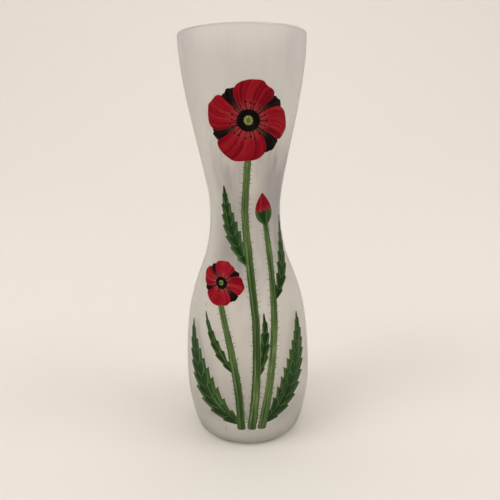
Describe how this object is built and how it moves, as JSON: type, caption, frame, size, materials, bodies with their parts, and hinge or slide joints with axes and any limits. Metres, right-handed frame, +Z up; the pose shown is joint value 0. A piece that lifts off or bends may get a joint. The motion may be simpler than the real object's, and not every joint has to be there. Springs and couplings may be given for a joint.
{
  "type": "painted glass vase",
  "caption": "Tall waisted vase of frosted glass with a flared mouth, a full belly and a thick base, painted on the front with a spray of red poppies in opaque enamel.",
  "frame": {"origin": "middle of the foot, on the surface that the vase stands on", "axes": "+Z up along the vase's axis, the painted front faces -Y, +X to the right seen from the front"},
  "size_m": [0.0816, 0.082, 0.25],
  "materials": {
    "frosted_glass": "acid-etched satin glass, milky and matt all over, smooth melted rim",
    "red_enamel": "semi-gloss opaque enamel with fine brush streaks",
    "black_enamel": "semi-gloss opaque enamel, brown where it runs thin",
    "stem_green_enamel": "semi-gloss opaque enamel, mid green with lighter streaks",
    "leaf_green_enamel": "semi-gloss opaque enamel, deep green with brush streaks",
    "dark_green_enamel": "semi-gloss opaque enamel, blackish green",
    "lime_enamel": "semi-gloss opaque enamel, yellow green"
  },
  "bodies": {
    "root": {"glass_body": "frosted_glass", "upper_petal_front": "red_enamel", "upper_shade_front": "black_enamel", "upper_petal_right": "red_enamel", "upper_shade_right": "black_enamel", "upper_petal_back": "red_enamel", "upper_shade_back": "black_enamel", "upper_petal_left": "red_enamel", "upper_shade_left": "black_enamel", "upper_heart": "black_enamel", "upper_pistil": "lime_enamel", "lower_petal_front": "red_enamel", "lower_shade_front": "black_enamel", "lower_petal_right": "red_enamel", "lower_shade_right": "black_enamel", "lower_petal_back": "red_enamel", "lower_shade_back": "black_enamel", "lower_petal_left": "red_enamel", "lower_shade_left": "black_enamel", "lower_heart": "black_enamel", "lower_pistil": "lime_enamel", "stem_upper": "stem_green_enamel", "stem_lower": "stem_green_enamel", "stem_bud": "stem_green_enamel", "bud_cup": "leaf_green_enamel", "bud_petals": "red_enamel", "leaf_low_left": "leaf_green_enamel", "rib_low_left": "dark_green_enamel", "leaf_low_right": "leaf_green_enamel", "rib_low_right": "dark_green_enamel", "leaf_inner_left": "leaf_green_enamel", "rib_inner_left": "dark_green_enamel", "leaf_inner_right": "leaf_green_enamel", "rib_inner_right": "dark_green_enamel", "leaf_high_left": "leaf_green_enamel", "rib_high_left": "dark_green_enamel", "leaf_high_right": "leaf_green_enamel", "rib_high_right": "dark_green_enamel"}
  },
  "joints": []
}
